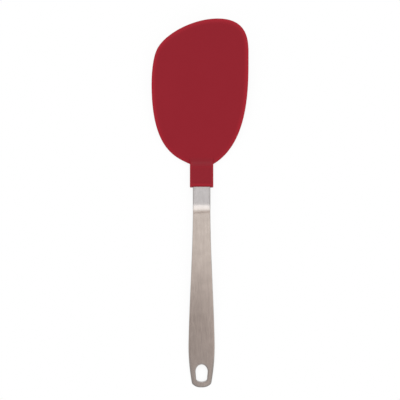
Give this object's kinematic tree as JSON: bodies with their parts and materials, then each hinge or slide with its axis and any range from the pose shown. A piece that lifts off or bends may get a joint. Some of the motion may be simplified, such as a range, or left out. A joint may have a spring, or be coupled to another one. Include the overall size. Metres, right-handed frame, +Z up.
{
  "type": "flexible turner",
  "caption": "Flexible kitchen turner: a slanted, lopsided silicone blade over a spring-steel core, moulded in one with a collar on a cranked flat steel handle with a hanging slot.",
  "frame": {"origin": "middle of the bottom of the box around the part, as it lies on a table on its heel and the end of its handle", "axes": "+X to the right seen from the handle's end, +Y along the turner from the hanging slot to the blade's tip, +Z up"},
  "size_m": [0.083, 0.3172, 0.029],
  "materials": {
    "brushed_steel": "satin",
    "red_silicone": "matte",
    "spring_steel": "satin",
    "rivet_steel": "satin"
  },
  "bodies": {
    "grip": {"handle": "brushed_steel", "collar": "red_silicone", "spring_core": "spring_steel", "front_rivet": "rivet_steel", "rear_rivet": "rivet_steel"},
    "blade": {"blade": "red_silicone"}
  },
  "joints": [
    {"name": "blade_flex", "type": "hinge", "parent": "grip", "child": "blade", "pos_m": [0.00125, 0.04877, 0.00554], "axis": [1, 0, 0], "range_deg": [-30, 30], "stiffness_Nm_per_rad": 1.9, "deforming": ["spring_core"]}
  ]
}
